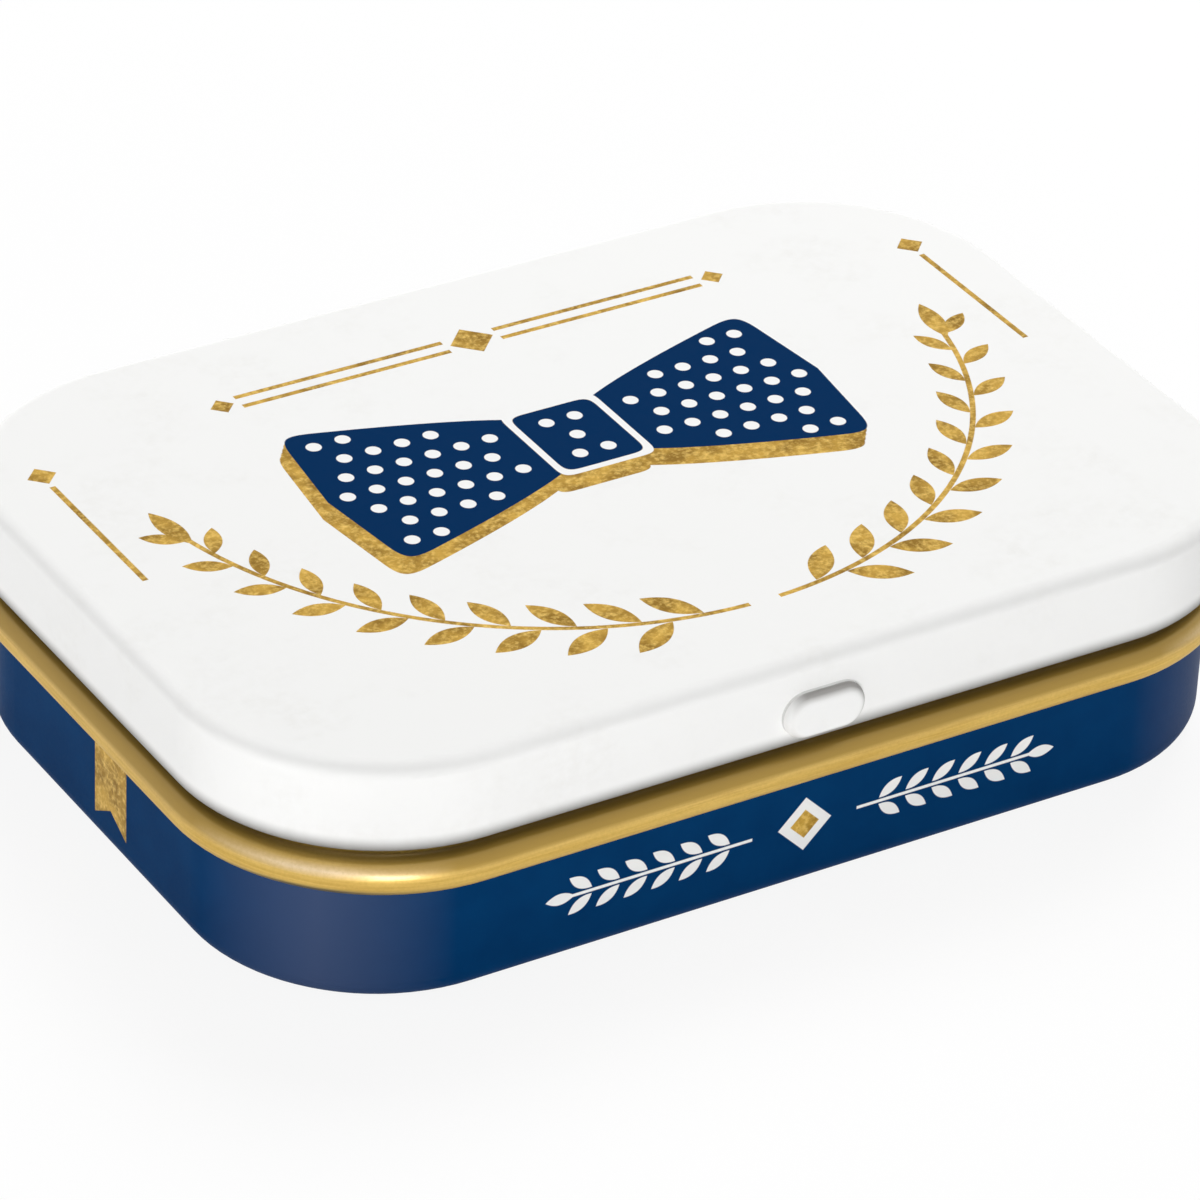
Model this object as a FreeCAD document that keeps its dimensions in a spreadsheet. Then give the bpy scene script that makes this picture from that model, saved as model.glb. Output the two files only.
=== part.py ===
import FreeCAD, Part
import Sketcher
import math
import os

# Sizes of the tin in millimetres
SIZES = [
    ("lid_length", 62.0, "outside of the lid skirt from left to right"),
    ("lid_depth", 42.4, "outside of the lid skirt from front to back"),
    ("corner_radius", 11.4, "corner of the lid skirt seen from above"),
    ("tin_height", 14.8, "closed tin from its floor to the top of the lid"),
    ("tinplate", 0.25, "thickness of the drawn sheet"),
    ("lid_edge_radius", 0.8, "round edge between the lid top and its skirt"),
    ("lid_curl_radius", 0.42, "outside of the curl on the lower edge of the skirt"),
    ("lid_gap", 0.6, "lower edge of the skirt above the top of the bead"),
    ("lid_rest_gap", 0.05, "rim of the tray below the inside of the lid"),
    ("wall_inset", 0.8, "wall of the tray in from the outside of the skirt"),
    ("floor_radius", 1.15, "round edge between the floor and the wall"),
    ("bead_height", 7.95, "centre of the bead above the floor"),
    ("bead_radius", 1.05, "outside of the bead"),
    ("bead_inset", 0.69, "centre of the bead in from the outside of the skirt"),
    ("bead_fillet", 0.35, "hollow bends above and below the bead"),
    ("neck_play", 0.6, "neck of the tray in from the curl of the lid"),
    ("rim_curl_radius", 0.5, "outside of the curl on the rim of the tray"),
    ("wire_play", 0.1, "hinge wire inside the hollow of the bead"),
    ("wire_end_gap", 1.1, "end of the wire short of the corner bend"),
    ("knuckle_play", 0.05, "knuckle round the hinge wire"),
    ("knuckle_width", 6.0, "rolled knuckle along the wire"),
    ("knuckle_spacing", 22.0, "centres of the two knuckles"),
    ("knuckle_relief", 0.3, "notch beside each knuckle tongue"),
    ("slot_play", 0.1, "slot in the bead above and below the bead"),
    ("slot_side_play", 0.2, "slot in the bead beside each knuckle"),
    ("catch_length", 4.8, "thumb catch from left to right"),
    ("catch_height", 2.6, "thumb catch from its lower to its upper edge"),
    ("catch_reach", 0.75, "face of the thumb catch out from the skirt"),
    ("catch_edge", 0.55, "round edge of the thumb catch"),
    ("catch_gap", 0.05, "hollow of the catch above the curl"),
    ("mint_side_gap", 2.2, "mints in from the inside of the wall"),
    ("mint_thickness", 4.2, "one mint through its middle"),
    ("mint_dome", 0.9, "height of each domed face"),
    ("mint_gap", 0.3, "space between neighbours"),
    ("mint_seat_gap", 0.02, "mint above the surface that it lies on"),
]

# Mints in the lower layer, one count for each row from front to back
ROW_COUNTS = [6, 5, 6, 5]

# One in so many hollows of the lower layer holds an upper mint
UPPER_STEP_COUNT = 3

# Points that tell where an edge lies
EDGE_SPOT_COUNT = 3

doc = FreeCAD.newDocument("mint_tin")
sheet = doc.addObject("Spreadsheet::Sheet", "sizes")
for line, (alias, amount, note) in enumerate(SIZES, start=1):
    sheet.set(f"A{line}", alias)
    sheet.set(f"B{line}", str(amount))
    sheet.setAlias(f"B{line}", alias)
    sheet.set(f"C{line}", note)
doc.recompute()

# Places worked out from the sizes
half_length = "sizes.lid_length / 2"
half_depth = "sizes.lid_depth / 2"
lid_foot = "(sizes.bead_height + sizes.bead_radius + sizes.lid_gap)"
curl_top = f"({lid_foot} + 2 * sizes.lid_curl_radius)"
lid_under = "(sizes.tin_height - sizes.tinplate)"
rim_top = f"({lid_under} - sizes.lid_rest_gap)"
neck_inset = "(2 * sizes.lid_curl_radius + sizes.neck_play)"
wire_radius = "(sizes.bead_radius - sizes.tinplate - sizes.wire_play)"
knuckle_inner = f"({wire_radius} + sizes.knuckle_play)"
knuckle_outer = f"({knuckle_inner} + sizes.tinplate)"
hinge_y = f"({half_depth} - sizes.bead_inset)"
hinge_z = "sizes.bead_height"
row_most = max(ROW_COUNTS)
row_steps = len(ROW_COUNTS) - 1
mint_inset = "(sizes.wall_inset + sizes.tinplate + sizes.mint_side_gap)"
mint_length = f"(sizes.lid_length - 2 * {mint_inset})"
mint_depth = f"(sizes.lid_depth - 2 * {mint_inset})"
stagger = f"({row_steps} * sqrt(3) / 2)"
mint_along = f"(({mint_length} - {row_most - 1} * sizes.mint_gap) / {row_most})"
mint_across = f"(({mint_depth} - {stagger} * sizes.mint_gap) / (1 + {stagger}))"
mint_diameter = f"min({mint_along}; {mint_across})"
mint_radius = f"({mint_diameter} / 2)"
dome_radius = f"(({mint_radius} ^ 2 + sizes.mint_dome ^ 2) / (2 * sizes.mint_dome))"
mint_pitch = f"(({mint_length} - {mint_diameter}) / {row_most - 1})"
row_step = f"(({mint_depth} - {mint_diameter}) / {row_steps})"


def number(rule):
    """Value of one rule in millimetres."""
    return float(sheet.evalExpression(rule))


def new_body(label):
    """Empty body for one piece."""
    body = doc.addObject("PartDesign::Body", label)
    body.Label = label
    return body


def origin_plane(body, role):
    """One of the body's own planes."""
    return next(item for item in body.Origin.OriginFeatures if item.Role == role)


def new_sketch(body, name, role, shift=None):
    """Sketch on a plane of the body, moved by rules for its own x, y and z."""
    sketch = body.newObject("Sketcher::SketchObject", name)
    sketch.AttachmentSupport = [(origin_plane(body, role), "")]
    sketch.MapMode = "FlatFace"
    for axis, rule in (shift or {}).items():
        sketch.setExpression(f"AttachmentOffset.Base.{axis}", rule)
    doc.recompute()
    return sketch


def arc_between(here, there, centre, turn):
    """Arc from here to there about the centre, turn 1 goes against the clock."""
    first, last = (here, there) if turn > 0 else (there, here)
    begin = math.atan2(first.y - centre.y, first.x - centre.x)
    end = math.atan2(last.y - centre.y, last.x - centre.x)
    if end <= begin:
        end += 2 * math.pi
    circle = Part.Circle(centre, FreeCAD.Vector(0, 0, 1), (here - centre).Length)
    return Part.ArcOfCircle(circle, begin, end)


def hold(kind, geometry, point, rule, rows, rules):
    """Fix one coordinate of a corner by its rule."""
    if rule == "0":
        axis = -2 if kind == "DistanceX" else -1
        rows.append(Sketcher.Constraint("PointOnObject", geometry, point, axis))
        rules.append(None)
        return
    rows.append(Sketcher.Constraint(kind, -1, 1, geometry, point, number(rule)))
    rules.append(rule)


def draw(sketch, corners):
    """Closed outline. A corner is its two rules and the bend that leads to the next corner.

    A bend is None for a straight line, or the centre's two rules, the radius and the turn.
    """
    start = sketch.GeometryCount
    spots = [FreeCAD.Vector(number(x), number(y), 0) for x, y, bend in corners]
    ends = []
    rows = []
    rules = []
    for place, (x, y, bend) in enumerate(corners):
        here = spots[place]
        there = spots[(place + 1) % len(spots)]
        if bend is None:
            sketch.addGeometry(Part.LineSegment(here, there), False)
            ends.append((1, 2))
            continue
        centre = FreeCAD.Vector(number(bend[0]), number(bend[1]), 0)
        sketch.addGeometry(arc_between(here, there, centre, bend[3]), False)
        ends.append((1, 2) if bend[3] > 0 else (2, 1))
    for place, (x, y, bend) in enumerate(corners):
        after = (place + 1) % len(corners)
        rows.append(
            Sketcher.Constraint("Coincident", start + place, ends[place][1], start + after, ends[after][0])
        )
        rules.append(None)
        hold("DistanceX", start + place, ends[place][0], x, rows, rules)
        hold("DistanceY", start + place, ends[place][0], y, rows, rules)
        if bend is not None:
            rows.append(Sketcher.Constraint("Radius", start + place, number(bend[2])))
            rules.append(bend[2])
    places = sketch.addConstraint(rows)
    for place, rule in zip(places, rules):
        if rule is not None:
            sketch.setExpression(f"Constraints[{place}]", rule)
    doc.recompute()


def rounded(inset):
    """Rounded rectangle set in from the outside of the lid skirt."""
    x = f"({half_length} - {inset})"
    y = f"({half_depth} - {inset})"
    radius = f"(sizes.corner_radius - {inset})"
    mid_x = f"({half_length} - sizes.corner_radius)"
    mid_y = f"({half_depth} - sizes.corner_radius)"
    return [
        (x, "0", None),
        (x, mid_y, (mid_x, mid_y, radius, 1)),
        (mid_x, y, None),
        (f"-{mid_x}", y, (f"-{mid_x}", mid_y, radius, 1)),
        (f"-{x}", mid_y, None),
        (f"-{x}", f"-{mid_y}", (f"-{mid_x}", f"-{mid_y}", radius, 1)),
        (f"-{mid_x}", f"-{y}", None),
        (mid_x, f"-{y}", (mid_x, f"-{mid_y}", radius, 1)),
        (x, f"-{mid_y}", None),
    ]


def rectangle(left, right, bottom, top):
    """Upright rectangle."""
    return [(left, bottom, None), (right, bottom, None), (right, top, None), (left, top, None)]


def pad(body, name, sketch, length, midplane=False):
    """Sketch raised by a length, or to both sides of its plane."""
    feature = body.newObject("PartDesign::Pad", name)
    feature.Profile = sketch
    feature.Midplane = midplane
    feature.setExpression("Length", length)
    return feature


def pocket(body, name, sketch, length, forward=False):
    """Sketch cut away by a length behind its plane, or in front of it."""
    feature = body.newObject("PartDesign::Pocket", name)
    feature.Profile = sketch
    feature.Reversed = forward
    feature.setExpression("Length", length)
    return feature


def front_fillet(body, name, base, reach, radius):
    """Round off the edges that lie all along one reach in front of the middle."""
    doc.recompute()
    level = -number(reach)
    names = []
    for order, edge in enumerate(base.Shape.Edges, start=1):
        spots = edge.discretize(EDGE_SPOT_COUNT)
        if all(abs(spot.y - level) < Part.Precision.confusion() for spot in spots):
            names.append(f"Edge{order}")
    feature = body.newObject("PartDesign::Fillet", name)
    feature.Base = (base, names)
    feature.setExpression("Radius", radius)
    return feature


def sweep(body, name, profile):
    """Wall section carried round the rounded rectangle of the tin."""
    path = new_sketch(body, f"{name}_path", "XY_Plane")
    draw(path, rounded("0"))
    feature = body.newObject("PartDesign::AdditivePipe", name)
    feature.Profile = profile
    feature.Spine = path
    return feature


def knuckle_slots(sketch, play, bottom, top):
    """Two rectangles over the knuckles, wider than these by the play at each side."""
    near = f"(sizes.knuckle_spacing / 2 - sizes.knuckle_width / 2 - {play})"
    far = f"(sizes.knuckle_spacing / 2 + sizes.knuckle_width / 2 + {play})"
    draw(sketch, rectangle(near, far, bottom, top))
    draw(sketch, rectangle(f"-{far}", f"-{near}", bottom, top))


# Tray floor
base = new_body("base_tray")
floor_inset = "(sizes.wall_inset + sizes.floor_radius)"
floor_sketch = new_sketch(base, "floor_outline", "XY_Plane")
draw(floor_sketch, rounded(floor_inset))
pad(base, "floor", floor_sketch, "sizes.tinplate")

# Tray wall with its bead, neck and curled rim
wall_x = f"({half_length} - sizes.wall_inset)"
wall_in = f"({wall_x} - sizes.tinplate)"
foot_x = f"({half_length} - {floor_inset})"
foot_z = "sizes.floor_radius"
foot_inner = "(sizes.floor_radius - sizes.tinplate)"
bead_x = f"({half_length} - sizes.bead_inset)"
bead_z = "sizes.bead_height"
bead_inner = "(sizes.bead_radius - sizes.tinplate)"
bend_reach = "(sizes.bead_radius + sizes.bead_fillet)"
bend_outer = "(sizes.bead_fillet + sizes.tinplate)"
low_run = "(sizes.bead_inset - sizes.wall_inset + sizes.bead_fillet)"
low_drop = f"sqrt({bend_reach} ^ 2 - {low_run} ^ 2)"
low_x = f"({wall_x} + sizes.bead_fillet)"
low_z = f"({bead_z} - {low_drop})"
neck_x = f"({half_length} - {neck_inset})"
neck_in = f"({neck_x} - sizes.tinplate)"
high_run = f"({neck_inset} - sizes.bead_inset - sizes.bead_fillet)"
high_rise = f"sqrt({bend_reach} ^ 2 - {high_run} ^ 2)"
high_x = f"({neck_x} + sizes.bead_fillet)"
high_z = f"({bead_z} + {high_rise})"
rim_x = f"({neck_x} - sizes.rim_curl_radius)"
rim_z = f"({rim_top} - sizes.rim_curl_radius)"
rim_inner = "(sizes.rim_curl_radius - sizes.tinplate)"
wall_profile = new_sketch(base, "wall_section", "XZ_Plane")
draw(wall_profile, [
    (foot_x, "0", (foot_x, foot_z, "sizes.floor_radius", 1)),
    (wall_x, foot_z, None),
    (wall_x, low_z, (low_x, low_z, "sizes.bead_fillet", -1)),
    (
        f"{bead_x} + sizes.bead_radius * {low_run} / {bend_reach}",
        f"{bead_z} - sizes.bead_radius * {low_drop} / {bend_reach}",
        (bead_x, bead_z, "sizes.bead_radius", 1),
    ),
    (
        f"{bead_x} - sizes.bead_radius * {high_run} / {bend_reach}",
        f"{bead_z} + sizes.bead_radius * {high_rise} / {bend_reach}",
        (high_x, high_z, "sizes.bead_fillet", -1),
    ),
    (neck_x, high_z, None),
    (neck_x, rim_z, (rim_x, rim_z, "sizes.rim_curl_radius", 1)),
    (rim_x, f"{rim_z} - sizes.rim_curl_radius", None),
    (rim_x, f"{rim_z} - {rim_inner}", (rim_x, rim_z, rim_inner, -1)),
    (neck_in, rim_z, None),
    (neck_in, high_z, (high_x, high_z, bend_outer, 1)),
    (
        f"{bead_x} - {bead_inner} * {high_run} / {bend_reach}",
        f"{bead_z} + {bead_inner} * {high_rise} / {bend_reach}",
        (bead_x, bead_z, bead_inner, -1),
    ),
    (
        f"{bead_x} + {bead_inner} * {low_run} / {bend_reach}",
        f"{bead_z} - {bead_inner} * {low_drop} / {bend_reach}",
        (low_x, low_z, bend_outer, 1),
    ),
    (wall_in, low_z, None),
    (wall_in, foot_z, (foot_x, foot_z, foot_inner, -1)),
    (foot_x, "sizes.tinplate", None),
])
sweep(base, "wall", wall_profile)

# Slots through the bead at the back for the two knuckles
slot_reach = "(sizes.bead_radius + sizes.slot_play)"
slot_sketch = new_sketch(base, "slot_outline", "XZ_Plane")
knuckle_slots(slot_sketch, "sizes.slot_side_play", f"{hinge_z} - {slot_reach}", f"{hinge_z} + {slot_reach}")
pocket(base, "hinge_slots", slot_sketch, "sizes.lid_depth")

# Lid top
lid = new_body("lid")
top_sketch = new_sketch(lid, "top_outline", "XY_Plane", {"z": lid_under})
draw(top_sketch, rounded("sizes.lid_edge_radius"))
pad(lid, "top", top_sketch, "sizes.tinplate")

# Lid skirt with its round upper edge and the curl on its lower edge
edge_x = f"({half_length} - sizes.lid_edge_radius)"
edge_z = "(sizes.tin_height - sizes.lid_edge_radius)"
edge_inner = "(sizes.lid_edge_radius - sizes.tinplate)"
skirt_in = f"({half_length} - sizes.tinplate)"
curl_x = f"({half_length} - sizes.lid_curl_radius)"
curl_z = f"({lid_foot} + sizes.lid_curl_radius)"
curl_inner = "(sizes.lid_curl_radius - sizes.tinplate)"
skirt_profile = new_sketch(lid, "skirt_section", "XZ_Plane")
draw(skirt_profile, [
    (edge_x, "sizes.tin_height", (edge_x, edge_z, "sizes.lid_edge_radius", -1)),
    (half_length, edge_z, None),
    (half_length, curl_z, (curl_x, curl_z, "sizes.lid_curl_radius", -1)),
    (curl_x, curl_top, None),
    (curl_x, f"{curl_z} + {curl_inner}", (curl_x, curl_z, curl_inner, 1)),
    (skirt_in, curl_z, None),
    (skirt_in, edge_z, (edge_x, edge_z, edge_inner, 1)),
    (edge_x, lid_under, None),
])
sweep(lid, "skirt", skirt_profile)

# Thumb catch pressed out of the front of the skirt
catch_z = f"({curl_top} + sizes.catch_gap + sizes.catch_height / 2 - sizes.tinplate)"
catch_root = f"({half_depth} - sizes.tinplate)"
catch_shift = {"y": catch_z, "z": catch_root}


def catch_outline(sketch, inset):
    """Bar with round ends, set in by a rule."""
    radius = f"(sizes.catch_height / 2 - {inset})"
    side = "(sizes.catch_length / 2 - sizes.catch_height / 2)"
    tip = f"(sizes.catch_length / 2 - {inset})"
    draw(sketch, [
        (f"-{side}", f"-{radius}", None),
        (side, f"-{radius}", (side, "0", radius, 1)),
        (tip, "0", (side, "0", radius, 1)),
        (side, radius, None),
        (f"-{side}", radius, (f"-{side}", "0", radius, 1)),
        (f"-{tip}", "0", (f"-{side}", "0", radius, 1)),
    ])


catch_sketch = new_sketch(lid, "catch_outline", "XZ_Plane", catch_shift)
catch_outline(catch_sketch, "0")
catch = pad(lid, "catch", catch_sketch, "sizes.tinplate + sizes.catch_reach")
catch_face = f"({half_depth} + sizes.catch_reach)"
front_fillet(lid, "catch_edge_round", catch, catch_face, "sizes.catch_edge")
hollow_sketch = new_sketch(lid, "catch_hollow_outline", "XZ_Plane", catch_shift)
catch_outline(hollow_sketch, "sizes.tinplate")
hollow = pocket(lid, "catch_hollow", hollow_sketch, "sizes.catch_reach", True)
hollow_face = f"({catch_root} + sizes.catch_reach)"
front_fillet(lid, "catch_hollow_round", hollow, hollow_face, "sizes.catch_edge - sizes.tinplate")

# Notches where the curl gives way to the two knuckle tongues
notch_sketch = new_sketch(lid, "notch_outline", "XZ_Plane")
knuckle_slots(notch_sketch, "sizes.knuckle_relief", f"{lid_foot} - sizes.lid_curl_radius", curl_top)
pocket(lid, "knuckle_notches", notch_sketch, "sizes.lid_depth")

# Knuckle rolled round the hinge wire from a tongue of the skirt
tongue_in = f"({half_depth} - sizes.tinplate)"
rise = "(sizes.bead_radius + sizes.lid_gap)"


def touch(run, radius):
    """Rules of the point where a line from the skirt foot touches a circle about the wire."""
    far = f"({run} ^ 2 + {rise} ^ 2)"
    line = f"sqrt({far} - {radius} ^ 2)"
    across = f"{hinge_y} + ({radius} ^ 2 * {run} + {radius} * {line} * {rise}) / {far}"
    up = f"{hinge_z} + ({radius} ^ 2 * {rise} - {radius} * {line} * {run}) / {far}"
    return across, up


outer_x, outer_z = touch("sizes.bead_inset", knuckle_outer)
inner_x, inner_z = touch("(sizes.bead_inset - sizes.tinplate)", knuckle_inner)
knuckle_sketch = new_sketch(lid, "knuckle_section", "YZ_Plane", {"z": "sizes.knuckle_spacing / 2"})
draw(knuckle_sketch, [
    (tongue_in, curl_top, None),
    (half_depth, curl_top, None),
    (half_depth, lid_foot, None),
    (outer_x, outer_z, (hinge_y, hinge_z, knuckle_outer, -1)),
    (hinge_y, f"{hinge_z} + {knuckle_outer}", None),
    (hinge_y, f"{hinge_z} + {knuckle_inner}", (hinge_y, hinge_z, knuckle_inner, 1)),
    (inner_x, inner_z, None),
    (tongue_in, lid_foot, None),
])
knuckle = pad(lid, "knuckle", knuckle_sketch, "sizes.knuckle_width", True)
doc.recompute()
pair = lid.newObject("PartDesign::Mirrored", "knuckle_pair")
pair.Originals = [knuckle]
pair.MirrorPlane = (origin_plane(lid, "YZ_Plane"), [""])
lid.Tip = pair

# Hinge wire in the hollow of the bead
wire = new_body("hinge_wire")
wire_sketch = new_sketch(wire, "wire_section", "YZ_Plane")
wire_middle = FreeCAD.Vector(number(hinge_y), number(hinge_z), 0)
wire_sketch.addGeometry(Part.Circle(wire_middle, FreeCAD.Vector(0, 0, 1), number(wire_radius)), False)
wire_rows = []
wire_rules = []
hold("DistanceX", 0, 3, hinge_y, wire_rows, wire_rules)
hold("DistanceY", 0, 3, hinge_z, wire_rows, wire_rules)
wire_rows.append(Sketcher.Constraint("Radius", 0, number(wire_radius)))
wire_rules.append(wire_radius)
for place, rule in zip(wire_sketch.addConstraint(wire_rows), wire_rules):
    wire_sketch.setExpression(f"Constraints[{place}]", rule)
wire_length = "(sizes.lid_length - 2 * sizes.corner_radius - 2 * sizes.wire_end_gap)"
pad(wire, "wire", wire_sketch, wire_length, True)

# Places of the mints, a lower layer in staggered rows and some mints in its hollows
hollow_run = f"(({row_step} ^ 2 + {mint_pitch} ^ 2 / 4) / (2 * {row_step}))"
floor_level = "(sizes.tinplate + sizes.mint_seat_gap)"
nest = f"(sqrt(4 * {dome_radius} ^ 2 - {hollow_run} ^ 2) - 2 * {dome_radius})"
upper_level = f"({floor_level} + sizes.mint_thickness + sizes.mint_seat_gap + {nest})"
lower_places = []
hollow_places = []
for row, count in enumerate(ROW_COUNTS):
    row_y = f"{row - row_steps / 2} * {row_step}"
    for spot in range(count):
        lower_places.append((f"{spot - (count - 1) / 2} * {mint_pitch}", row_y, floor_level))
    if row == row_steps:
        break
    hollow_y = f"({row_y} + {row_step} - {hollow_run})"
    for spot in range(count - 1):
        hollow_places.append((f"{spot - (count - 2) / 2} * {mint_pitch}", hollow_y, upper_level))
mint_places = lower_places + hollow_places[1::UPPER_STEP_COUNT]

# Mints
mints = []
for order, (x_rule, y_rule, z_rule) in enumerate(mint_places, start=1):
    mint = new_body(f"mint_{order:02d}")
    section = new_sketch(mint, f"mint_section_{order:02d}", "XZ_Plane")
    draw(section, [
        ("0", "0", ("0", dome_radius, dome_radius, 1)),
        (mint_radius, "sizes.mint_dome", None),
        (
            mint_radius,
            "sizes.mint_thickness - sizes.mint_dome",
            ("0", f"sizes.mint_thickness - {dome_radius}", dome_radius, 1),
        ),
        ("0", "sizes.mint_thickness", None),
    ])
    turned = mint.newObject("PartDesign::Revolution", f"mint_{order:02d}_turned")
    turned.Profile = section
    turned.ReferenceAxis = (section, ["V_Axis"])
    turned.Angle = 360
    mint.setExpression("Placement.Base.x", x_rule)
    mint.setExpression("Placement.Base.y", y_rule)
    mint.setExpression("Placement.Base.z", z_rule)
    mints.append(mint)

doc.recompute()

# Every feature is sound before the pieces are written
for item in doc.Objects:
    if "Invalid" in item.State or "Error" in item.State:
        raise RuntimeError(f"{item.Name} is not sound: {item.State}")
os.makedirs("parts", exist_ok=True)
for piece in [base, lid, wire] + mints:
    if piece.Shape.isNull() or not piece.Shape.isValid():
        raise RuntimeError(f"{piece.Label} has no sound shape")
    piece.Shape.exportStep(f"parts/{piece.Label}.step")
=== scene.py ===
import math

import bpy
from mathutils import Matrix, Vector

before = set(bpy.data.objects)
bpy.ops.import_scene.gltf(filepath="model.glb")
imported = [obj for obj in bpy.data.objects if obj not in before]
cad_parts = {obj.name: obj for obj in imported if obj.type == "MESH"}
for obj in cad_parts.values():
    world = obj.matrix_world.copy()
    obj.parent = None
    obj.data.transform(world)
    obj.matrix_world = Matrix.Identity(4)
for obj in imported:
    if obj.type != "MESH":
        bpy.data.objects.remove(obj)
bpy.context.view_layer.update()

MM_PER_M = 1000.0

# Sizes of the tin in millimetres, as the frame has them
LID_HALF_X = 31.0
LID_HALF_Y = 21.2
CORNER = 11.4
LID_TOP = 14.8
LID_FOOT = 9.6
BEAD_Z = 7.95
BEAD_INSET = 0.69
NECK_FOOT = 9.05
KNUCKLE_X = 11.0
KNUCKLE_HALF = 3.1

# Middle of the rolled sheet, as a distance from the bead's axis
KNUCKLE_CORE = 0.87
BEAD_CORE = 0.92

# Places of the print in millimetres
EDGE = 0.04
FACE_GAP = 0.1
# FOOT_SHADE is how high the painted shade at the lid's foot reaches
FOOT_SHADE = 1.05
# CATCH_Y bounds the painted shade on the catch
CATCH_Y = -LID_HALF_Y - 0.03
BOW_Y = 3.2
BOW_SHADE_STEPS = (0.35, 0.7, 1.05, 1.4)
BOW_SHADE_SLANT = 0.75
DOT_PITCH = 1.75
DOT_RADIUS = 0.43
GOLD_FOOT = 7.0
FRONT_WALL_Y = -20.0
LEFT_WALL_X = -29.0
SPRIG_Z = 3.9
LOZENGE_HALF = 1.15
HEART_HALF = 0.62
RIBBON_Y = -1.1
RIBBON_HALF = 1.73
RIBBON_FOOT = 2.67
RIBBON_SLOPE = 0.57

# Least shares of a face's direction
FLAT_SHARE = 0.98
FRONT_SHARE = 0.9
FACING_SHARE = 0.05

# Share of metal in the gold print
FOIL_METAL_SHARE = 0.45

# Colours in linear light
WHITE_INK = (0.90, 0.90, 0.89, 1.0)
WHITE_SHADE = (0.84, 0.835, 0.815, 1.0)
# Painted shade at the lid's foot
PAINTED_FOOT_SHADE = (0.20, 0.195, 0.185, 1.0)
# Painted shade on the catch's sides
PAINTED_CATCH_SHADE = (0.46, 0.45, 0.435, 1.0)
NAVY_INK = (0.0006, 0.025, 0.093, 1.0)
NAVY_WALL = (0.0009, 0.038, 0.129, 1.0)
NAVY_DEEP = (0.0006, 0.032, 0.113, 1.0)
# Painted sheen on the navy at the corners
PAINTED_NAVY_SHEEN = (0.046, 0.074, 0.160, 1.0)
GOLD_INK = (0.57, 0.345, 0.062, 1.0)
GOLD_DEEP = (0.28, 0.155, 0.022, 1.0)
GOLD_PALE = (0.92, 0.64, 0.18, 1.0)
BAND_GOLD = (0.70, 0.47, 0.125, 1.0)
BAND_DEEP = (0.60, 0.385, 0.09, 1.0)
# Gold for the painted lid shadow on the bead and for its random specks
BAND_SHADOW_AND_SPECK = (0.39, 0.245, 0.045, 1.0)
# Painted highlight on the bead at the corners
PAINTED_BAND_HIGHLIGHT = (0.79, 0.61, 0.37, 1.0)
# Painted shade under the bead at the corners
PAINTED_BAND_UNDERSHADE = (0.15, 0.125, 0.07, 1.0)
TIN_PALE = (0.74, 0.74, 0.73, 1.0)
TIN_DEEP = (0.63, 0.63, 0.625, 1.0)
MINT_PALE = (0.90, 0.90, 0.88, 1.0)
MINT_DEEP = (0.82, 0.82, 0.80, 1.0)
STEEL_PALE = (0.62, 0.61, 0.60, 1.0)
STEEL_DEEP = (0.42, 0.415, 0.41, 1.0)
FLOOR_PAPER = (0.92, 0.92, 0.92, 1.0)
WHITE = (1.0, 1.0, 1.0, 1.0)


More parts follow.
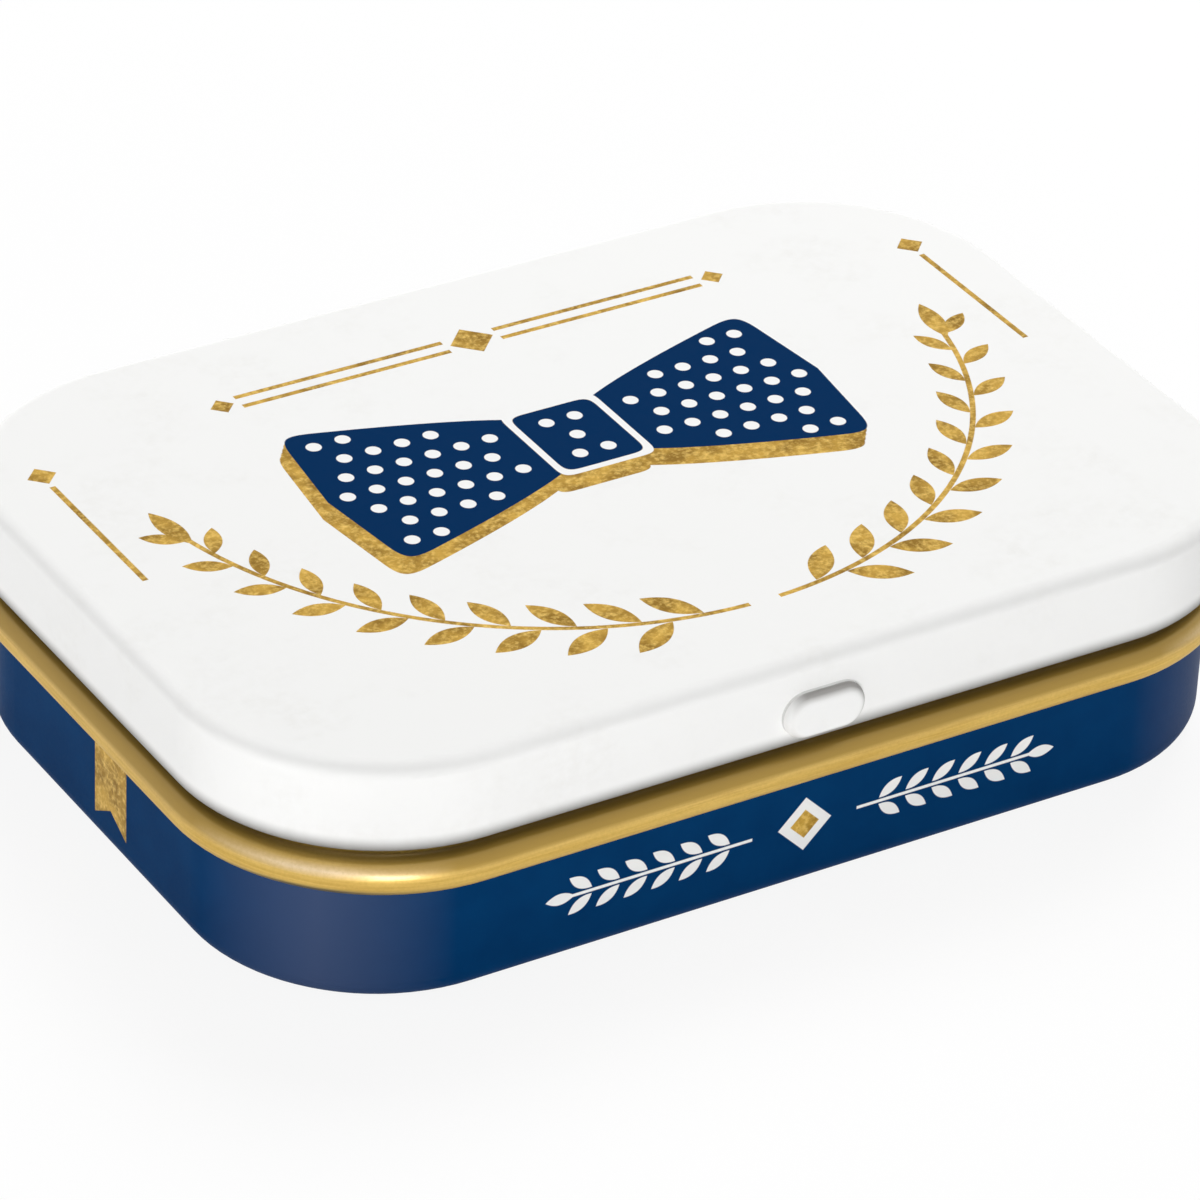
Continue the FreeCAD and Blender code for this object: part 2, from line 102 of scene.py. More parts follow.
class Graph:
    """Adds nodes to one node tree."""

    def __init__(self, tree):
        self.tree = tree

    def feed(self, socket, value):
        if isinstance(value, bpy.types.NodeSocket):
            self.tree.links.new(value, socket)
        else:
            socket.default_value = value

    def add(self, kind, inputs=None, **settings):
        node = self.tree.nodes.new(kind)
        for name, value in settings.items():
            setattr(node, name, value)
        for key, value in (inputs or {}).items():
            self.feed(node.inputs[key], value)
        return node

    def math(self, operation, *values, clamp=False):
        node = self.add("ShaderNodeMath", operation=operation, use_clamp=clamp)
        for socket, value in zip(node.inputs, values):
            self.feed(socket, value)
        return node.outputs[0]

    def vector(self, operation, *values):
        node = self.add("ShaderNodeVectorMath", operation=operation)
        for socket, value in zip(node.inputs, values):
            self.feed(socket, value)
        scalar = operation in ("DOT_PRODUCT", "LENGTH", "DISTANCE")
        return node.outputs["Value" if scalar else "Vector"]

    def scaled(self, vector, factor):
        node = self.add("ShaderNodeVectorMath", {0: vector, "Scale": factor}, operation="SCALE")
        return node.outputs[0]

    def split(self, vector):
        return tuple(self.add("ShaderNodeSeparateXYZ", {0: vector}).outputs)

    def join(self, x, y, z=0.0):
        return self.add("ShaderNodeCombineXYZ", {0: x, 1: y, 2: z}).outputs[0]

    def level(self, factor, low, high):
        """Number between low and high."""
        return self.add("ShaderNodeMix", {0: factor, 2: low, 3: high}, data_type="FLOAT").outputs[0]

    def tint(self, factor, low, high):
        """Colour between low and high."""
        return self.add("ShaderNodeMix", {0: factor, 6: low, 7: high}, data_type="RGBA").outputs[2]

    def inside(self, depth):
        """Mask of a shape from the depth inside its edge, which is EDGE wide."""
        return self.math("MULTIPLY_ADD", depth, 1.0 / EDGE, 0.5, clamp=True)

    def less(self, value, limit):
        return self.math("LESS_THAN", value, limit)

    def more(self, value, limit):
        return self.math("GREATER_THAN", value, limit)

    def without(self, mask):
        return self.math("SUBTRACT", 1.0, mask)

    def both(self, *masks):
        result = masks[0]
        for mask in masks[1:]:
            result = self.math("MULTIPLY", result, mask)
        return result

    def either(self, *masks):
        result = masks[0]
        for mask in masks[1:]:
            result = self.math("MAXIMUM", result, mask)
        return result

    def noise(self, point, scale, detail, rough):
        inputs = {"Vector": point, "Scale": scale, "Detail": detail, "Roughness": rough}
        return self.add("ShaderNodeTexNoise", inputs).outputs["Fac"]

    def remap(self, value, low, high, to_low=0.0, to_high=1.0):
        inputs = {0: value, 1: low, 2: high, 3: to_low, 4: to_high}
        return self.add("ShaderNodeMapRange", inputs, clamp=True).outputs[0]

    def soft_step(self, value, low, high):
        inputs = {0: value, 1: low, 2: high}
        return self.add("ShaderNodeMapRange", inputs, interpolation_type="SMOOTHSTEP").outputs[0]

    def mirrored(self, point):
        """Flat point folded over the tin's middle, so a shape is drawn on both sides at once."""
        x, y = self.split(point)[:2]
        return self.join(self.math("ABSOLUTE", x), y)

    def use(self, group, **inputs):
        node = self.add("ShaderNodeGroup")
        node.node_tree = group
        for name, value in inputs.items():
            self.feed(node.inputs[name.replace("_", " ").title()], value)
        return node.outputs


SOCKETS = {"v": "NodeSocketVector", "f": "NodeSocketFloat", "c": "NodeSocketColor"}
SHAPE_INPUTS = [("Point", "v"), ("Centre", "v"), ("Angle", "f"), ("Half Length", "f"), ("Half Width", "f")]
FINISH_OUTPUTS = [("Color", "c"), ("Roughness", "f")]


def new_group(name, inputs, outputs):
    """Empty group with its input and output sockets."""
    tree = bpy.data.node_groups.new(name, "ShaderNodeTree")
    for label, kind in inputs:
        tree.interface.new_socket(label, in_out="INPUT", socket_type=SOCKETS[kind])
    for label, kind in outputs:
        tree.interface.new_socket(label, in_out="OUTPUT", socket_type=SOCKETS[kind])
    graph = Graph(tree)
    return graph, graph.add("NodeGroupInput").outputs, graph.add("NodeGroupOutput").inputs


def turned(graph, source):
    """Distances along and across a shape, from its centre and at its angle."""
    moved = graph.vector("SUBTRACT", source["Point"], source["Centre"])
    back = graph.math("MULTIPLY", source["Angle"], -1.0)
    node = graph.add("ShaderNodeVectorRotate", {"Vector": moved, "Angle": back}, rotation_type="Z_AXIS")
    return graph.split(graph.vector("ABSOLUTE", node.outputs[0]))[:2]


def leaf_group():
    """Leaf with two pointed ends."""
    graph, source, sink = new_group("leaf", SHAPE_INPUTS, [("Mask", "f")])
    along, across = turned(graph, source)
    share = graph.math("DIVIDE", along, source["Half Length"])
    swell = graph.without(graph.math("MULTIPLY", share, share))
    reach = graph.math("MULTIPLY", swell, source["Half Width"])
    graph.feed(sink["Mask"], graph.inside(graph.math("SUBTRACT", reach, across)))
    return graph.tree


def bar_group():
    """Rectangle, or a lozenge when it is turned."""
    graph, source, sink = new_group("bar", SHAPE_INPUTS, [("Mask", "f")])
    along, across = turned(graph, source)
    end_depth = graph.math("SUBTRACT", source["Half Length"], along)
    side_depth = graph.math("SUBTRACT", source["Half Width"], across)
    graph.feed(sink["Mask"], graph.inside(graph.math("MINIMUM", end_depth, side_depth)))
    return graph.tree


def bow_group():
    """Bow tie about its centre: its cloth, its whole outline and the field inside its margins."""
    wing_in, wing_out = 1.6, 15.2
    wing_low, wing_high = 2.3, 7.3
    wing_power, wing_slant, wing_round = 0.75, 0.12, 2.2
    knot_half_x, knot_half_y, knot_round = 2.5, 3.1, 1.2
    seam, margin = 0.42, 0.85

    outputs = [("Cloth", "f"), ("Whole", "f"), ("Field", "f")]
    graph, source, sink = new_group("bow", [("Point", "v")], outputs)
    x, y = graph.split(graph.vector("ABSOLUTE", source["Point"]))[:2]
    swell = graph.math("POWER", graph.remap(x, wing_in, wing_out), wing_power)
    reach = graph.math("MULTIPLY_ADD", swell, wing_high - wing_low, wing_low)
    end = graph.math("MULTIPLY_ADD", y, -wing_slant, wing_out)
    edge_depth = graph.math("SUBTRACT", reach, y)
    end_depth = graph.math("SUBTRACT", end, x)
    wing = graph.math("SMOOTH_MIN", edge_depth, end_depth, wing_round)
    wing = graph.math("MINIMUM", wing, graph.math("SUBTRACT", x, wing_in))
    knot_end = graph.math("SUBTRACT", knot_half_x, x)
    knot_edge = graph.math("SUBTRACT", knot_half_y, y)
    knot = graph.math("SMOOTH_MIN", knot_end, knot_edge, knot_round)

    wing_mask = graph.inside(wing)
    knot_and_seam = graph.inside(graph.math("ADD", knot, seam))
    cloth = graph.either(graph.both(wing_mask, graph.without(knot_and_seam)), graph.inside(knot))
    inner_wing = graph.inside(graph.math("SUBTRACT", wing, margin))
    off_knot = graph.without(graph.inside(graph.math("ADD", knot, seam + margin)))
    inner_knot = graph.inside(graph.math("SUBTRACT", knot, margin))
    graph.feed(sink["Cloth"], cloth)
    graph.feed(sink["Whole"], graph.either(wing_mask, knot_and_seam))
    graph.feed(sink["Field"], graph.either(graph.both(inner_wing, off_knot), inner_knot))
    return graph.tree


def dots_group():
    """Round dots in staggered rows, one row through the middle, with the centre of each dot."""
    inputs = [("Point", "v"), ("Pitch", "f"), ("Radius", "f")]
    graph, source, sink = new_group("dots", inputs, [("Mask", "f"), ("Middle", "v")])
    x, y = graph.split(source["Point"])[:2]
    row = graph.math("ROUND", graph.math("DIVIDE", y, source["Pitch"]))
    shift = graph.math("MULTIPLY", graph.math("FLOORED_MODULO", row, 2.0), 0.5)
    place = graph.math("SUBTRACT", graph.math("DIVIDE", x, source["Pitch"]), shift)
    column = graph.math("ADD", graph.math("ROUND", place), shift)
    middle = graph.scaled(graph.join(column, row), source["Pitch"])
    away = graph.vector("DISTANCE", graph.join(x, y), middle)
    graph.feed(sink["Mask"], graph.inside(graph.math("SUBTRACT", source["Radius"], away)))
    graph.feed(sink["Middle"], middle)
    return graph.tree


def foil_group():
    """Mottled gold foil print."""
    graph, source, sink = new_group("foil", [("Point", "v")], FINISH_OUTPUTS)
    wide = graph.noise(source["Point"], scale=0.55, detail=4.0, rough=0.6)
    fine = graph.noise(source["Point"], scale=3.2, detail=3.0, rough=0.65)
    mottle = graph.tint(graph.remap(wide, 0.38, 0.62), GOLD_DEEP, GOLD_INK)
    flecks = graph.remap(fine, 0.45, 0.75, 0.0, 0.75)
    graph.feed(sink["Color"], graph.tint(flecks, mottle, GOLD_PALE))
    graph.feed(sink["Roughness"], graph.remap(fine, 0.3, 0.7, 0.42, 0.30))
    return graph.tree


def tinplate_group():
    """Bare rolled tinplate with faint lines along the length."""
    cloud_share = 0.45
    graph, source, sink = new_group("tinplate", [("Point", "v")], FINISH_OUTPUTS)
    rolled = graph.vector("MULTIPLY", source["Point"], (0.06, 6.0, 6.0))
    lines = graph.noise(rolled, scale=1.0, detail=4.0, rough=0.6)
    cloud = graph.noise(source["Point"], scale=0.12, detail=3.0, rough=0.5)
    mottle = graph.level(cloud_share, lines, cloud)
    graph.feed(sink["Color"], graph.tint(graph.remap(mottle, 0.38, 0.62), TIN_DEEP, TIN_PALE))
    graph.feed(sink["Roughness"], graph.remap(lines, 0.3, 0.7, 0.28, 0.34))
    return graph.tree


def run_out(graph, value, half):
    """Signed distance past the straight stretch of a side, where the corners begin."""
    past = graph.math("SUBTRACT", graph.math("ABSOLUTE", value), half - CORNER)
    return graph.math("MULTIPLY", graph.math("MAXIMUM", past, 0.0), graph.math("SIGN", value))


def outside_group():
    """One on faces that look out of the tin.

    Face Height is the level of the flat outer face.
    Core is the middle of the sheet round the bead's axis.
    """
    inputs = [("Point", "v"), ("Normal", "v"), ("Face Height", "f"), ("Core", "f")]
    graph, source, sink = new_group("outside", inputs, [("Mask", "f")])
    x, y, z = graph.split(source["Point"])
    rise = graph.split(source["Normal"])[2]
    out = graph.join(run_out(graph, x, LID_HALF_X), run_out(graph, y, LID_HALF_Y))
    looks_out = graph.vector("DOT_PRODUCT", graph.vector("NORMALIZE", out), source["Normal"])
    flat = graph.math("COMPARE", z, source["Face Height"], FACE_GAP)
    crest = graph.both(graph.more(rise, FACING_SHARE), graph.more(z, BEAD_Z), graph.less(z, NECK_FOOT))
    facing = graph.either(graph.more(looks_out, FACING_SHARE), flat, crest)
    reach = graph.math("SUBTRACT", graph.vector("LENGTH", out), CORNER - BEAD_INSET)
    away = graph.vector("LENGTH", graph.join(reach, graph.math("SUBTRACT", z, BEAD_Z)))
    graph.feed(sink["Mask"], graph.both(facing, graph.more(away, source["Core"])))
    return graph.tree


LEAF = leaf_group()
BAR = bar_group()
BOW = bow_group()
DOTS = dots_group()
FOIL = foil_group()
TINPLATE = tinplate_group()
OUTSIDE = outside_group()


def new_material(name):
    """Material with its shader, the point in millimetres and the normal, both in the piece's own frame."""
    material = bpy.data.materials.new(name)
    material.use_nodes = True
    material.node_tree.nodes.clear()
    graph = Graph(material.node_tree)
    shader = graph.add("ShaderNodeBsdfPrincipled")
    output = graph.add("ShaderNodeOutputMaterial")
    graph.feed(output.inputs["Surface"], shader.outputs["BSDF"])
    place = graph.add("ShaderNodeTexCoord")
    point = graph.scaled(place.outputs["Object"], MM_PER_M)
    return material, graph, shader, point, place.outputs["Normal"]


def bump(graph, height, strength, distance):
    """Normal of a fine relief."""
    inputs = {"Height": height, "Strength": strength, "Distance": distance}
    return graph.add("ShaderNodeBump", inputs).outputs["Normal"]


def shape(graph, group, point, centre, angle, half_length, half_width):
    """Mask of one leaf or bar, the angle in degrees."""
    return graph.use(
        group,
        point=point,
        centre=(*centre, 0.0),
        angle=math.radians(angle),
        half_length=half_length,
        half_width=half_width,
    )["Mask"]


def lozenge(graph, point, centre, half):
    return shape(graph, BAR, point, centre, 45.0, half, half)


def laurel(graph, point):
    """Two sprigs that meet under the bow, with leaves on both sides of a round stem."""
    centre_y, radius = 8.5, 24.0
    leaf_pairs, first_angle, angle_step, tip_back = 9, -80.0, 8.1, 2.0
    leaf_lean, leaf_shift, leaf_reach, leaf_shrink = 40.0, 2.2, 2.0, 0.035
    leaf_half_length, leaf_half_width = 1.75, 0.68
    tip_half_length, tip_half_width = 1.9, 0.6
    stem_half, stem_gap = 0.16, 0.9

    def on_stem(angle):
        turn = math.radians(angle)
        return Vector((radius * math.cos(turn), centre_y + radius * math.sin(turn)))

    mirrored = graph.mirrored(point)
    across, up = graph.split(mirrored)[:2]
    masks = []
    for step in range(leaf_pairs):
        angle = first_angle + angle_step * step
        size = 1.0 - leaf_shrink * step
        for side in (1.0, -1.0):
            heading = angle + 90.0 - leaf_lean * side
            way = Vector((math.cos(math.radians(heading)), math.sin(math.radians(heading))))
            spot = on_stem(angle + leaf_shift * side) + way * leaf_reach * size
            masks.append(shape(
                graph, LEAF, mirrored, spot, heading, leaf_half_length * size, leaf_half_width * size,
            ))
    tip_angle = first_angle + angle_step * leaf_pairs - tip_back
    tip = on_stem(tip_angle)
    masks.append(shape(graph, LEAF, mirrored, tip, tip_angle + 90.0, tip_half_length, tip_half_width))
    away = graph.vector("DISTANCE", mirrored, (0.0, centre_y, 0.0))
    bend = graph.math("ABSOLUTE", graph.math("SUBTRACT", away, radius))
    stem = graph.both(
        graph.inside(graph.math("SUBTRACT", stem_half, bend)),
        graph.less(up, tip.y),
        graph.more(across, stem_gap),
    )
    return graph.either(stem, *masks)


def rules(graph, point):
    """Gold rules and lozenges round the bow."""
    rule_half = 0.17
    top_x, top_y, top_half_length, top_gap = 8.0, 14.4, 6.4, 0.5
    top_end_x, top_end_half, middle_half = 15.4, 0.5, 0.95
    side_x, side_y, side_half_length = 27.2, 6.0, 5.2
    side_end_y, side_end_half = 12.4, 0.6
    mirrored = graph.mirrored(point)
    return graph.either(
        shape(graph, BAR, mirrored, (top_x, top_y + top_gap), 0.0, top_half_length, rule_half),
        shape(graph, BAR, mirrored, (top_x, top_y - top_gap), 0.0, top_half_length, rule_half),
        lozenge(graph, point, (0.0, top_y), middle_half),
        lozenge(graph, mirrored, (top_end_x, top_y), top_end_half),
        shape(graph, BAR, mirrored, (side_x, side_y), 90.0, side_half_length, rule_half),
        lozenge(graph, mirrored, (side_x, side_end_y), side_end_half),
    )


def lid_ground(graph, point, normal, grain):
    """White print with faint clouds, with painted shade towards the skirt's foot and painted shade on the
    top, right and lower sides of the catch.
    """
    cloud_share = 0.8
    x, y, z = graph.split(point)
    side_x, side_y = graph.split(normal)[:2]
    cloud = graph.noise(point, scale=0.16, detail=5.0, rough=0.62)
    clouds = graph.both(graph.remap(cloud, 0.5, 0.74), graph.remap(grain, 0.35, 0.7))
    ground = graph.tint(graph.math("MULTIPLY", clouds, cloud_share), WHITE_INK, WHITE_SHADE)
    # Painted shade: the white darkens towards the skirt's foot, where the lid's edge meets the bead,
    # except on the hinge tongues
    above_foot = graph.soft_step(z, LID_FOOT, LID_FOOT + FOOT_SHADE)
    on_tongue = graph.math("COMPARE", graph.math("ABSOLUTE", x), KNUCKLE_X, KNUCKLE_HALF)
    tongue = graph.both(on_tongue, graph.more(y, 0.0))
    ground = graph.tint(graph.either(above_foot, tongue), PAINTED_FOOT_SHADE, ground)
    # Painted shade on the catch's top, right and lower sides, chosen by the way they face
    steep = graph.remap(graph.math("ABSOLUTE", side_y), 0.96, 0.6)
    turned_right = graph.remap(side_x, -0.7, -0.1)
    catch_shade_mask = graph.both(steep, turned_right, graph.less(y, CATCH_Y))
    return graph.tint(catch_shade_mask, ground, PAINTED_CATCH_SHADE)


def lid_material():
    material, graph, shader, point, normal = new_material("lid_print")
    inputs = {"point": point, "normal": normal, "face_height": LID_TOP, "core": KNUCKLE_CORE}
    outside = graph.use(OUTSIDE, **inputs)["Mask"]
    flat = graph.more(graph.split(normal)[2], FLAT_SHARE)
    panel = graph.more(graph.split(point)[2], LID_TOP - FACE_GAP)
    face = graph.both(outside, flat, panel)
    flat_point = graph.vector("MULTIPLY", point, (1.0, 1.0, 0.0))
    grain = graph.noise(point, scale=1.6, detail=3.0, rough=0.6)

    bow_point = graph.vector("SUBTRACT", flat_point, (0.0, BOW_Y, 0.0))
    bow = graph.use(BOW, point=bow_point)
    shades = []
    for step in BOW_SHADE_STEPS:
        moved = graph.vector("ADD", bow_point, (BOW_SHADE_SLANT * step, step, 0.0))
        shades.append(graph.use(BOW, point=moved)["Whole"])
    dots = graph.use(DOTS, point=bow_point, pitch=DOT_PITCH, radius=DOT_RADIUS)
    whole_dots = graph.both(dots["Mask"], graph.use(BOW, point=dots["Middle"])["Field"])
    seam = graph.math("SUBTRACT", bow["Whole"], bow["Cloth"], clamp=True)
    gold = graph.both(face, graph.either(laurel(graph, flat_point), rules(graph, flat_point), *shades))
    white = graph.both(face, graph.either(whole_dots, seam))
    navy = graph.both(face, bow["Cloth"])
    foil_mask = graph.both(gold, graph.without(navy), graph.without(white))

    foil = graph.use(FOIL, point=point)
    ink = graph.tint(gold, lid_ground(graph, point, normal, grain), foil["Color"])
    ink = graph.tint(navy, ink, NAVY_INK)
    ink = graph.tint(white, ink, WHITE_INK)
    print_metal = graph.math("MULTIPLY", foil_mask, FOIL_METAL_SHARE)
    print_rough = graph.level(foil_mask, graph.remap(grain, 0.3, 0.7, 0.36, 0.44), foil["Roughness"])

    tin = graph.use(TINPLATE, point=point)
    graph.feed(shader.inputs["Base Color"], graph.tint(outside, tin["Color"], ink))
    graph.feed(shader.inputs["Metallic"], graph.level(outside, 1.0, print_metal))
    graph.feed(shader.inputs["Roughness"], graph.level(outside, tin["Roughness"], print_rough))
    graph.feed(shader.inputs["Normal"], bump(graph, grain, strength=0.05, distance=0.00002))
    shader.inputs["Specular IOR Level"].default_value = 0.01
    return material


def wall_sprigs(graph, point):
    """Two white sprigs on the front wall, with a lozenge between them."""
    stem_x, stem_half_length, stem_half_width = 8.6, 5.4, 0.09
    leaf_pairs, first_x, leaf_pitch = 6, 5.25, 1.65
    leaf_lean, leaf_lift, leaf_half_length, leaf_half_width = 34.0, 0.66, 0.82, 0.33
    tip_x, tip_half_length, tip_half_width = 14.7, 0.85, 0.34
    x, z = graph.split(point)[::2]
    mirrored = graph.mirrored(graph.join(x, z))
    masks = [
        shape(graph, BAR, mirrored, (stem_x, SPRIG_Z), 0.0, stem_half_length, stem_half_width),
        shape(graph, LEAF, mirrored, (tip_x, SPRIG_Z), 0.0, tip_half_length, tip_half_width),
        lozenge(graph, mirrored, (0.0, SPRIG_Z), LOZENGE_HALF),
    ]
    for step in range(leaf_pairs):
        for side in (1.0, -1.0):
            spot = (first_x + leaf_pitch * step, SPRIG_Z + leaf_lift * side)
            masks.append(shape(
                graph, LEAF, mirrored, spot, leaf_lean * side, leaf_half_length, leaf_half_width,
            ))
    return graph.either(*masks)


def wall_ribbon(graph, point):
    """Gold swallow-tail ribbon that hangs from the band on the left wall."""
    x, y, z = graph.split(point)
    across = graph.math("ABSOLUTE", graph.math("SUBTRACT", y, RIBBON_Y))
    above_tail = graph.math("MULTIPLY_ADD", across, RIBBON_SLOPE, graph.math("SUBTRACT", z, RIBBON_FOOT))
    return graph.both(
        graph.less(x, LEFT_WALL_X),
        graph.inside(graph.math("SUBTRACT", RIBBON_HALF, across)),
        graph.inside(above_tail),
    )


def band_ink(graph, height, corner, streaks, speck):
    """Gold of the bead, with a painted shadow of the lid along its top, and at the corners a painted
    highlight above and painted shade below.

    Height is measured from the bead's axis.
    """
    shade_rise, highlight_rise, highlight_fall, under_rise = (0.25, 0.5), (0.2, 0.5), (0.85, 0.55), (-0.35, -0.6)
    corner_shade, speck_share = 0.25, 0.14
    ink = graph.tint(graph.remap(streaks, 0.35, 0.65), BAND_DEEP, BAND_GOLD)
    # Painted shadow of the lid along the top of the bead, fainter at the corners
    lid_shadow = graph.both(
        graph.remap(height, *shade_rise),
        graph.remap(corner, 0.0, 1.0, 1.0, corner_shade),
    )
    ink = graph.tint(lid_shadow, ink, BAND_SHADOW_AND_SPECK)
    # Painted highlight: a pale line along the upper bead at the corners
    painted_highlight = graph.both(corner, graph.remap(height, *highlight_rise), graph.remap(height, *highlight_fall))
    ink = graph.tint(painted_highlight, ink, PAINTED_BAND_HIGHLIGHT)
    # Painted shade under the bead at the corners
    under_shade = graph.both(corner, graph.remap(height, *under_rise))
    ink = graph.tint(under_shade, ink, PAINTED_BAND_UNDERSHADE)
    # Random specks of the same deep gold
    return graph.tint(graph.remap(speck, 0.42, 0.62, 0.0, speck_share), ink, BAND_SHADOW_AND_SPECK)


def tray_material():
    crown_height, crown_coat = 0.3, 0.6
    material, graph, shader, point, normal = new_material("tray_print")
    x, y, z = graph.split(point)
    height = graph.math("SUBTRACT", z, BEAD_Z)
    inputs = {"point": point, "normal": normal, "face_height": 0.0, "core": BEAD_CORE}
    printed = graph.both(graph.use(OUTSIDE, **inputs)["Mask"], graph.less(z, NECK_FOOT))
    side_x, side_y = graph.split(graph.vector("ABSOLUTE", normal))[:2]
    lesser = graph.math("MINIMUM", side_x, side_y)
    greater = graph.math("MAXIMUM", side_x, side_y)
    corner = graph.remap(graph.math("DIVIDE", lesser, greater), 0.15, 0.8)
    streaks = graph.noise(
        graph.vector("MULTIPLY", point, (0.25, 0.25, 7.0)), scale=1.0, detail=3.0, rough=0.6,
    )
    cloud = graph.noise(point, scale=0.3, detail=4.0, rough=0.6)
    speck = graph.noise(point, scale=6.0, detail=2.0, rough=0.5)

    band = graph.inside(graph.math("SUBTRACT", z, GOLD_FOOT))
    front = graph.both(graph.less(y, FRONT_WALL_Y), graph.less(graph.split(normal)[1], -FRONT_SHARE))
    sprigs = graph.both(front, wall_sprigs(graph, point))
    heart = graph.both(front, lozenge(graph, graph.join(x, z), (0.0, SPRIG_Z), HEART_HALF))
    gold = graph.either(band, wall_ribbon(graph, point), heart)

    foil = graph.use(FOIL, point=point)
    ink = graph.tint(graph.remap(cloud, 0.35, 0.65), NAVY_DEEP, NAVY_WALL)
    # Painted sheen: the navy is lighter and greyer round the corners
    ink = graph.tint(graph.remap(lesser, 0.1, 0.7), ink, PAINTED_NAVY_SHEEN)
    ink = graph.tint(sprigs, ink, WHITE_INK)
    ink = graph.tint(gold, ink, foil["Color"])
    ink = graph.tint(band, ink, band_ink(graph, height, corner, streaks, speck))
    print_metal = graph.math("MULTIPLY", gold, FOIL_METAL_SHARE)
    print_rough = graph.level(gold, graph.remap(speck, 0.3, 0.7, 0.42, 0.50), foil["Roughness"])
    print_rough = graph.level(band, print_rough, graph.remap(streaks, 0.3, 0.7, 0.46, 0.38))
    crown = graph.remap(height, 0.0, crown_height, 0.0, crown_coat)

    tin = graph.use(TINPLATE, point=point)
    graph.feed(shader.inputs["Base Color"], graph.tint(printed, tin["Color"], ink))
    graph.feed(shader.inputs["Metallic"], graph.level(printed, 1.0, print_metal))
    graph.feed(shader.inputs["Roughness"], graph.level(printed, tin["Roughness"], print_rough))
    graph.feed(shader.inputs["Coat Weight"], graph.both(printed, crown))
    graph.feed(shader.inputs["Normal"], bump(graph, speck, strength=0.04, distance=0.00002))
    shader.inputs["Coat Roughness"].default_value = 0.2
    shader.inputs["Specular IOR Level"].default_value = 0.015
    return material


def mint_material():
    chalk_share = 1.5
    material, graph, shader, point = new_material("mint_sugar")[:4]
    chalk = graph.noise(point, scale=1.3, detail=5.0, rough=0.65)
    powder = graph.noise(point, scale=7.0, detail=3.0, rough=0.7)
    color = graph.tint(graph.remap(chalk, 0.3, 0.7), MINT_DEEP, MINT_PALE)
    relief = graph.math("ADD", powder, graph.math("MULTIPLY", chalk, chalk_share))
    graph.feed(shader.inputs["Base Color"], color)
    graph.feed(shader.inputs["Roughness"], graph.remap(powder, 0.3, 0.7, 0.6, 0.85))
    graph.feed(shader.inputs["Normal"], bump(graph, relief, strength=0.35, distance=0.00012))
    shader.inputs["Subsurface Weight"].default_value = 0.15
    shader.inputs["Subsurface Radius"].default_value = (0.001, 0.001, 0.0008)
    return material


def wire_material():
    material, graph, shader, point = new_material("hinge_steel")[:4]
    drawn = graph.vector("MULTIPLY", point, (0.4, 9.0, 9.0))
    lines = graph.noise(drawn, scale=1.0, detail=3.0, rough=0.6)
    color = graph.tint(graph.remap(lines, 0.3, 0.7), STEEL_DEEP, STEEL_PALE)
    graph.feed(shader.inputs["Base Color"], color)
    graph.feed(shader.inputs["Roughness"], graph.remap(lines, 0.3, 0.7, 0.25, 0.42))
    shader.inputs["Metallic"].default_value = 1.0
    return material


def dress(name, material):
    """Give a piece of the frame its finish."""
    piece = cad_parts[name]
    piece.data.materials.clear()
    piece.data.materials.append(material)


dress("lid", lid_material())
dress("base_tray", tray_material())
dress("hinge_wire", wire_material())
mint_finish = mint_material()
for node_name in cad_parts:
    if node_name.startswith("mint_"):
        dress(node_name, mint_finish)


def seen_rays(graph):
    """One for rays that show the surroundings, straight on or in a gloss."""
    path = graph.add("ShaderNodeLightPath").outputs
    return graph.either(path["Is Camera Ray"], path["Is Glossy Ray"], path["Is Transmission Ray"])


def floor_piece():
    """Pale floor, nearly white where it is seen, that keeps the tin's shadow. Sizes in metres."""
    half, below_tin = 3.0, 0.00002
    white_share = 0.9
    mesh = bpy.data.meshes.new("floor")
    corners = [(-half, -half, 0.0), (half, -half, 0.0), (half, half, 0.0), (-half, half, 0.0)]
    mesh.from_pydata(corners, [], [(0, 1, 2, 3)])
    piece = bpy.data.objects.new("floor", mesh)
    piece.location.z = -below_tin
    bpy.context.scene.collection.objects.link(piece)
    material = bpy.data.materials.new("floor_paper")
    material.use_nodes = True
    material.node_tree.nodes.clear()
    graph = Graph(material.node_tree)
    paper = graph.add("ShaderNodeBsdfDiffuse", {"Color": FLOOR_PAPER})
    glow = graph.add("ShaderNodeEmission", {"Color": WHITE, "Strength": 1.0})
    share = graph.math("MULTIPLY", seen_rays(graph), white_share)
    mixed = graph.add("ShaderNodeMixShader", {0: share, 1: paper.outputs[0], 2: glow.outputs[0]})
    output = graph.add("ShaderNodeOutputMaterial")
    graph.feed(output.inputs["Surface"], mixed.outputs[0])
    mesh.materials.append(material)


floor_piece()


def outward(azimuth, elevation):
    """Direction from the tin, the azimuth from its front to its right, both in radians."""
    level = math.cos(elevation)
    return Vector((math.sin(azimuth) * level, -math.cos(azimuth) * level, math.sin(elevation)))


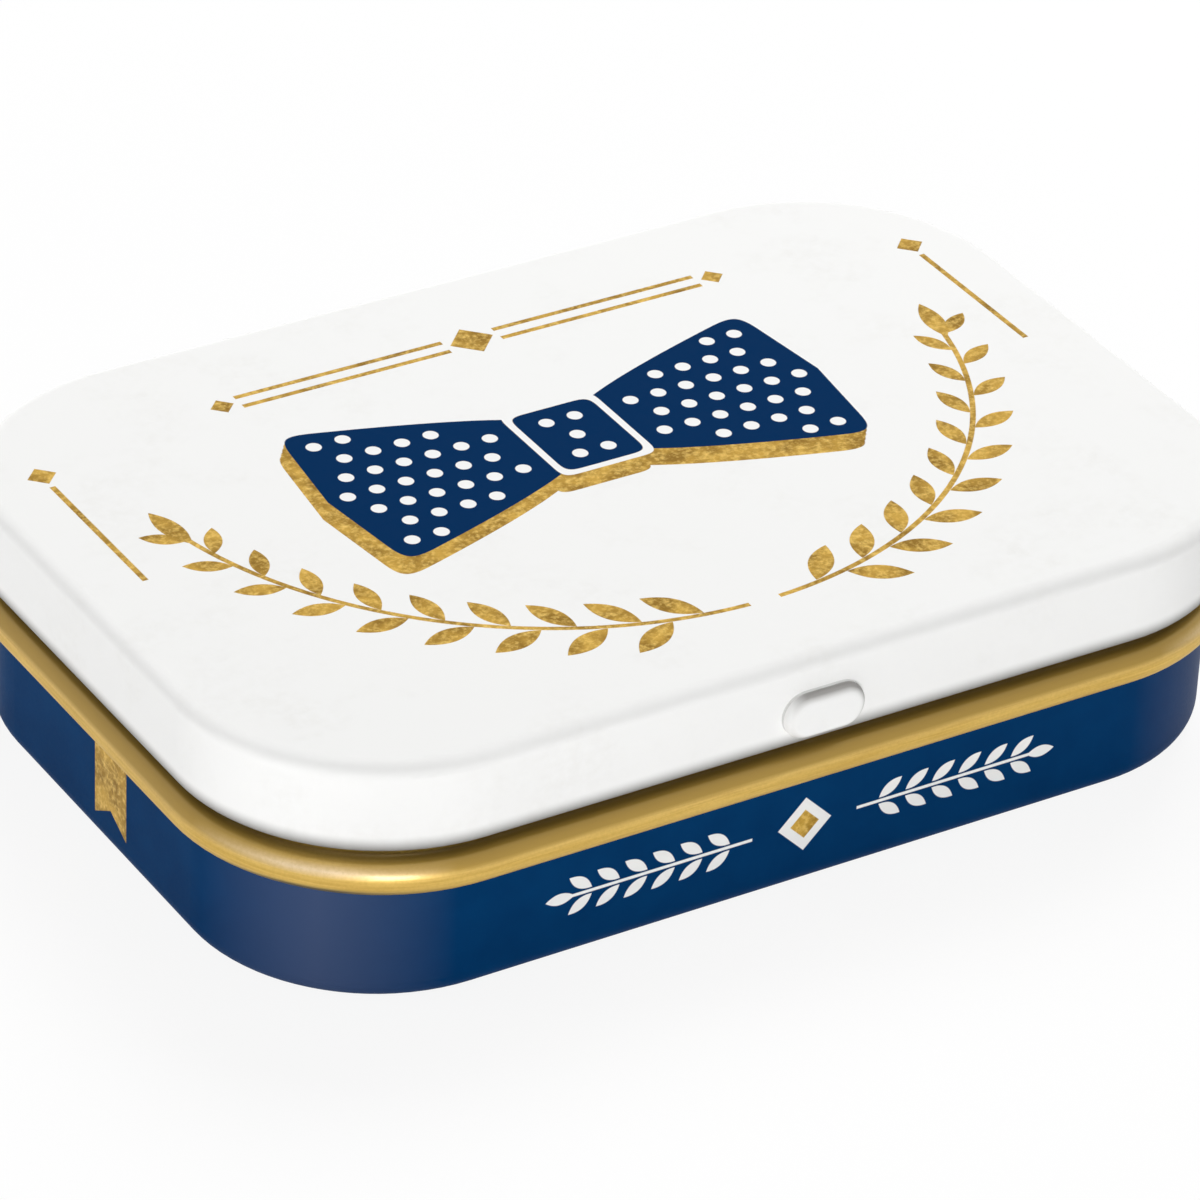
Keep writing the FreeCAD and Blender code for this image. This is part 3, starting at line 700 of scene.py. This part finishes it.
def soft_box(name, azimuth, elevation, distance, size, level, glints=True):
    """Square lamp that looks at the tin. The level is the light on a face that looks back at it."""
    way = outward(math.radians(azimuth), math.radians(elevation))
    lamp = bpy.data.lights.new(name, "AREA")
    lamp.size = size
    lamp.energy = level * (math.pi * distance) ** 2
    piece = bpy.data.objects.new(name, lamp)
    piece.location = way * distance
    piece.rotation_euler = way.to_track_quat("Z", "Y").to_euler()
    piece.visible_glossy = glints
    bpy.context.scene.collection.objects.link(piece)


soft_box("front_box", azimuth=-22.0, elevation=9.0, distance=0.36, size=0.12, level=0.54)
soft_box("left_box", azimuth=-116.0, elevation=6.0, distance=0.60, size=0.20, level=0.42, glints=False)
soft_box("back_box", azimuth=138.0, elevation=53.0, distance=0.80, size=0.45, level=1.06, glints=False)
soft_box("top_box", azimuth=-20.0, elevation=78.0, distance=0.90, size=0.60, level=0.07)


def studio_world():
    """White surroundings that give little light of their own."""
    light_level, seen_level = 0.08, 1.0
    world = bpy.data.worlds.new("studio")
    world.use_nodes = True
    graph = Graph(world.node_tree)
    sky = world.node_tree.nodes["Background"]
    sky.inputs["Color"].default_value = WHITE
    graph.feed(sky.inputs["Strength"], graph.level(seen_rays(graph), light_level, seen_level))
    bpy.context.scene.world = world


studio_world()


def photo_camera():
    """Camera at the photograph's angle, for a square picture. Places in millimetres of the tin."""
    azimuth, elevation, roll = (math.radians(value) for value in (-32.5, 32.07, 2.64))
    target = Vector((-1.912, -2.79, 8.267))
    distance = 362.6
    picture_pixels, focus_pixels = 1200.0, 6848.0
    sensor_width = 36.0
    back = outward(azimuth, elevation)
    right = Vector((math.cos(azimuth), math.sin(azimuth), 0.0))
    up = back.cross(right)
    tilted_right = right * math.cos(roll) + up * math.sin(roll)
    tilted_up = up * math.cos(roll) - right * math.sin(roll)
    lens = bpy.data.cameras.new("photo")
    lens.sensor_fit = "HORIZONTAL"
    lens.sensor_width = sensor_width
    lens.lens = sensor_width * focus_pixels / picture_pixels
    lens.clip_start = 0.01
    lens.clip_end = 20.0
    piece = bpy.data.objects.new("photo", lens)
    place = (target + back * distance) / MM_PER_M
    frame_of_view = Matrix((tilted_right, tilted_up, back)).transposed().to_4x4()
    piece.matrix_world = Matrix.Translation(place) @ frame_of_view
    bpy.context.scene.collection.objects.link(piece)
    bpy.context.scene.camera = piece


photo_camera()
bpy.context.scene.view_settings.view_transform = "Standard"
